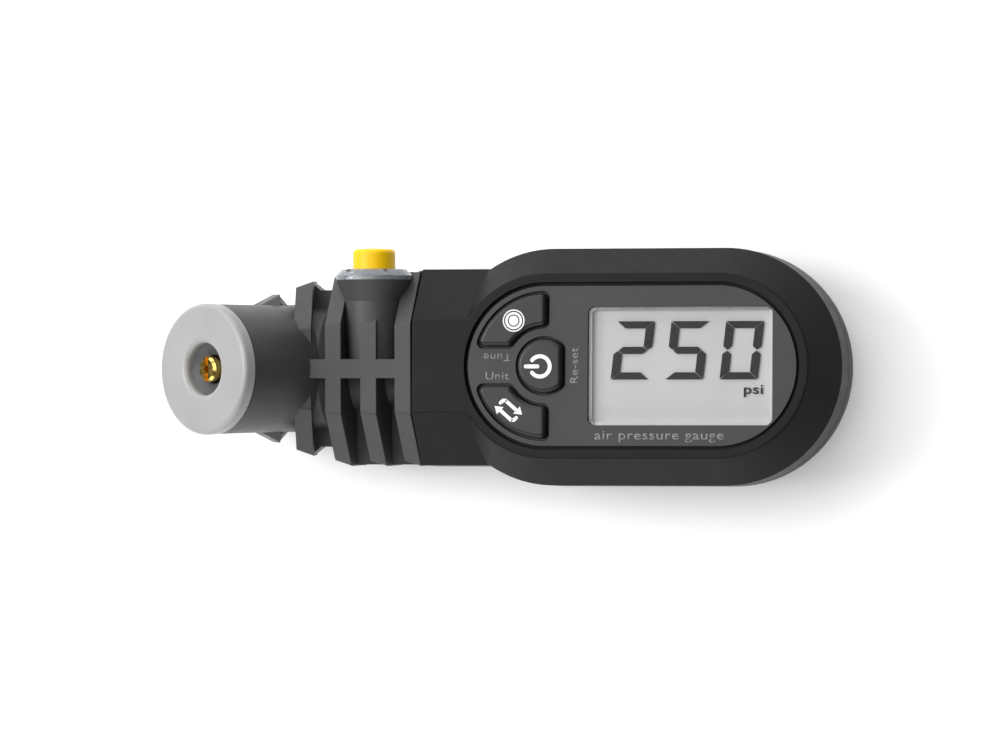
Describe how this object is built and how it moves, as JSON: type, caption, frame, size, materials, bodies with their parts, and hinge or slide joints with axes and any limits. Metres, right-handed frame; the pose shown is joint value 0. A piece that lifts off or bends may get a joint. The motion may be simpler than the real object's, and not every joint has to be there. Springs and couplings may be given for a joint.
{
  "type": "digital air pressure gauge",
  "caption": "Hand-held digital air pressure gauge with an oval display body, a ribbed swivelling bent valve head and an air-release button.",
  "frame": {"origin": "centre of the flat back of the display body, on which the gauge lies", "axes": "+X from the valve head to the round end of the display body, +Y to the release-button side, +Z along the display's normal"},
  "size_m": [0.1198, 0.0412, 0.0373],
  "materials": {
    "body_black": "fine matt moulded texture",
    "casing_grey": "matt glass-filled moulding",
    "cap_silver": "satin silver-grey",
    "panel_grey": "satin printed plate",
    "key_rubber": "satin keys with glossy edges",
    "rubber_black": "smooth",
    "silicone_grey": "smooth",
    "window_clear": "clear acrylic",
    "frame_light": "light grey",
    "lcd_glass": "pale reflective display",
    "board_green": "solder resist",
    "steel": "bright",
    "ribbon_amber": "flexible film",
    "socket_aluminium": "turned",
    "brass": "polished",
    "collar_clear": "clear grey plastic",
    "button_yellow": "glossy yellow"
  },
  "bodies": {
    "root": {"front_shell": "body_black", "back_shell": "body_black", "face_panel": "panel_grey", "shell_gasket": "rubber_black", "sensor_seal": "rubber_black", "keypad_membrane": "silicone_grey", "zebra_strips": "silicone_grey", "lcd_window": "window_clear", "lcd_frame": "frame_light", "inner_frame": "frame_light", "lcd_module": "lcd_glass", "circuit_board": "board_green", "shell_screws": "steel", "battery": "steel", "battery_contact_plus": "steel", "battery_contact_minus": "steel", "pressure_sensor": "steel", "sensor_bracket": "steel", "sensor_ribbon": "ribbon_amber", "swivel_socket": "socket_aluminium"},
    "door": {"battery_door": "body_black", "door_oring": "rubber_black"},
    "tune": {"tune_key": "key_rubber"},
    "unit": {"unit_key": "key_rubber"},
    "power": {"power_key": "key_rubber"},
    "head": {"head_casing": "casing_grey", "head_cap": "cap_silver", "valve_seal": "rubber_black", "seal_seat": "brass", "swivel_spigot": "socket_aluminium", "swivel_orings": "rubber_black", "retaining_clip": "steel", "release_collar": "collar_clear"},
    "depressor": {"valve_depressor": "brass", "depressor_spring": "steel"},
    "release": {"release_button": "button_yellow", "release_stem": "brass", "release_oring": "rubber_black", "release_spring": "steel"}
  },
  "joints": [
    {"name": "head_swivel", "type": "hinge", "parent": "root", "child": "head", "pos_m": [-0.0391, 0, 0.0125], "axis": [1, 0, 0], "continuous": true},
    {"name": "door_turn", "type": "hinge", "parent": "root", "child": "door", "pos_m": [0.005, 0, 0.001], "axis": [0, 0, 1], "range_deg": [0, 40]},
    {"name": "tune_press", "type": "slide", "parent": "root", "child": "tune", "axis": [0, 0, -1], "range_m": [0, 0.0006], "stiffness_N_per_m": 1500, "springref_m": -0.0004},
    {"name": "unit_press", "type": "slide", "parent": "root", "child": "unit", "axis": [0, 0, -1], "range_m": [0, 0.0006], "stiffness_N_per_m": 1500, "springref_m": -0.0004},
    {"name": "power_press", "type": "slide", "parent": "root", "child": "power", "axis": [0, 0, -1], "range_m": [0, 0.0006], "stiffness_N_per_m": 1500, "springref_m": -0.0004},
    {"name": "depressor_push", "type": "slide", "parent": "head", "child": "depressor", "axis": [0.5373, 0.0294, -0.8429], "range_m": [0, 0.0018], "stiffness_N_per_m": 1200, "springref_m": -0.001, "deforming": ["depressor_spring"]},
    {"name": "release_push", "type": "slide", "parent": "head", "child": "release", "axis": [0, -0.9994, -0.0349], "range_m": [0, 0.0016], "stiffness_N_per_m": 1200, "springref_m": -0.001, "deforming": ["release_spring"]}
  ]
}
